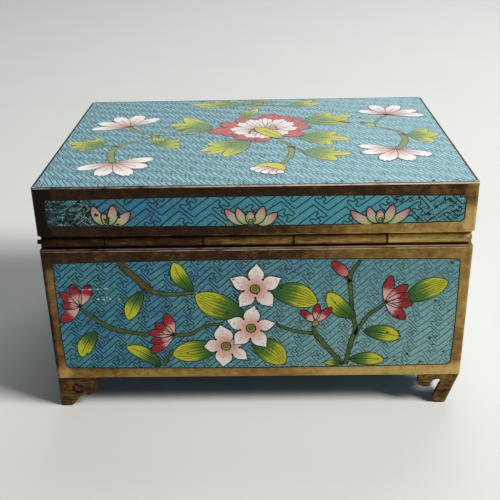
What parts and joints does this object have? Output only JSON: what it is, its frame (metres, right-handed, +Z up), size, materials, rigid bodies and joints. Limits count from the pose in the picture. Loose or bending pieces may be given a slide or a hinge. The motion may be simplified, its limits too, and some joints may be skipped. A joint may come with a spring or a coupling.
{
  "type": "cloisonne enamel box",
  "caption": "Rectangular brass and enamel box with a hinged lid, flower and fret panels and bracket feet; hollow and empty.",
  "frame": {"origin": "middle of the footprint, on the surface that the feet stand on", "axes": "+X along the width, +Z up, -Y out of the hinged back that the picture shows"},
  "size_m": [0.1266, 0.0944, 0.0738],
  "materials": {
    "box_brass": "old patinated brass, dark brown with golden wear on its edges",
    "hinge_brass": "worn brass, brighter on the barrels",
    "foot_brass": "dark patinated brass",
    "enamel": "turquoise cloisonne enamel, pitted, with flower and fret wires"
  },
  "bodies": {
    "base": {"base_box": "box_brass", "base_enamel_back": "enamel", "base_enamel_front": "enamel", "base_enamel_left": "enamel", "base_enamel_right": "enamel", "foot_back_left": "foot_brass", "foot_back_right": "foot_brass", "foot_front_left": "foot_brass", "foot_front_right": "foot_brass", "hinge_leaf_base": "hinge_brass", "hinge_pin": "hinge_brass"},
    "lid": {"lid_box": "box_brass", "lid_enamel_top": "enamel", "lid_enamel_back": "enamel", "lid_enamel_front": "enamel", "lid_enamel_left": "enamel", "lid_enamel_right": "enamel", "hinge_leaf_lid": "hinge_brass"}
  },
  "joints": [
    {"name": "lid_hinge", "type": "hinge", "parent": "base", "child": "lid", "pos_m": [0, -0.04535, 0.0567], "axis": [1, 0, 0], "range_deg": [0, 100]}
  ]
}
